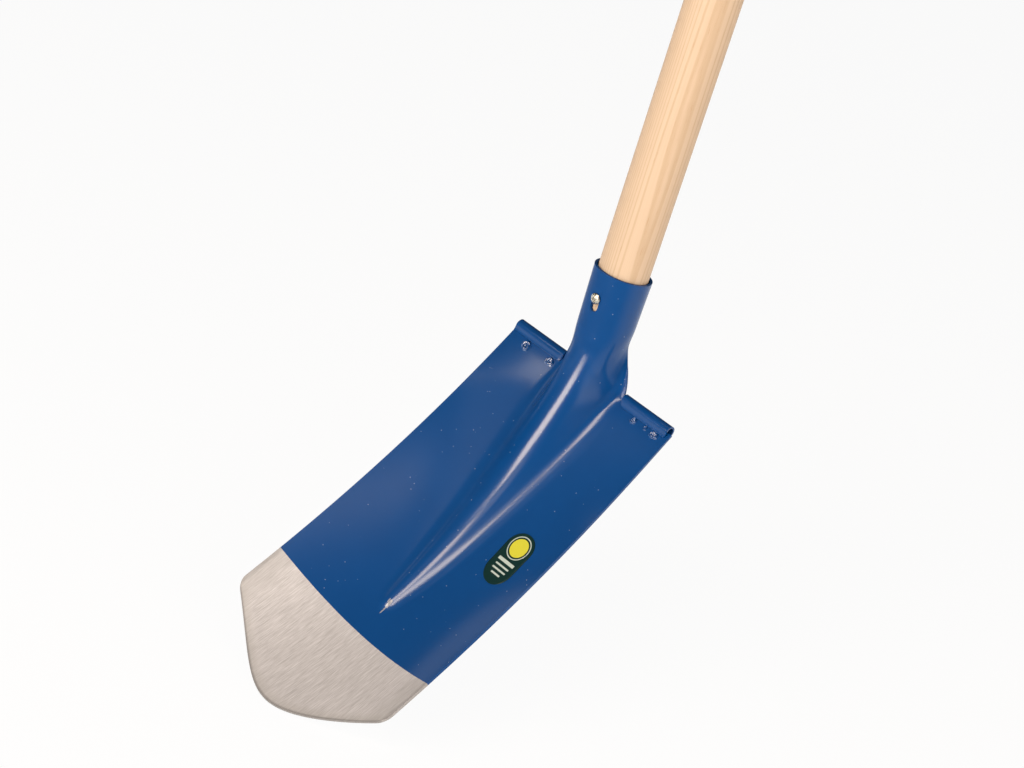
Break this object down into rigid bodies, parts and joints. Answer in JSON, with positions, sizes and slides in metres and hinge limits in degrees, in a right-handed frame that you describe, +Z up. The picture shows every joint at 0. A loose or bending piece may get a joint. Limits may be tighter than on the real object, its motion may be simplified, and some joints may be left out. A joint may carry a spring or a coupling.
{
  "type": "trenching spade",
  "caption": "Trenching spade: dished one-piece steel blade with a pressed ridge and rolled socket, folded foot treads on its shoulders and a straight wooden handle.",
  "frame": {"origin": "on the handle's axis at the foot of the straight shaft, 20 mm above the socket's mouth", "axes": "+Z up the handle, X across the blade (+X is the viewer's right), -Y out of the blade's ridged front"},
  "size_m": [0.1766, 0.2772, 1.4404],
  "materials": {
    "painted_steel": "semi-gloss deep blue paint, ground bare along the cutting edge",
    "painted_weld": "semi-gloss blue paint over weld beads",
    "ash_wood": "pale sanded ash with fine lengthwise grain",
    "zinc": "zinc plated",
    "foil": "glossy printed foil"
  },
  "bodies": {
    "root": {"blade": "painted_steel", "left_tread": "painted_steel", "right_tread": "painted_steel", "left_tread_welds": "painted_weld", "right_tread_welds": "painted_weld", "handle": "ash_wood", "handle_screw": "zinc", "label": "foil"}
  },
  "joints": []
}
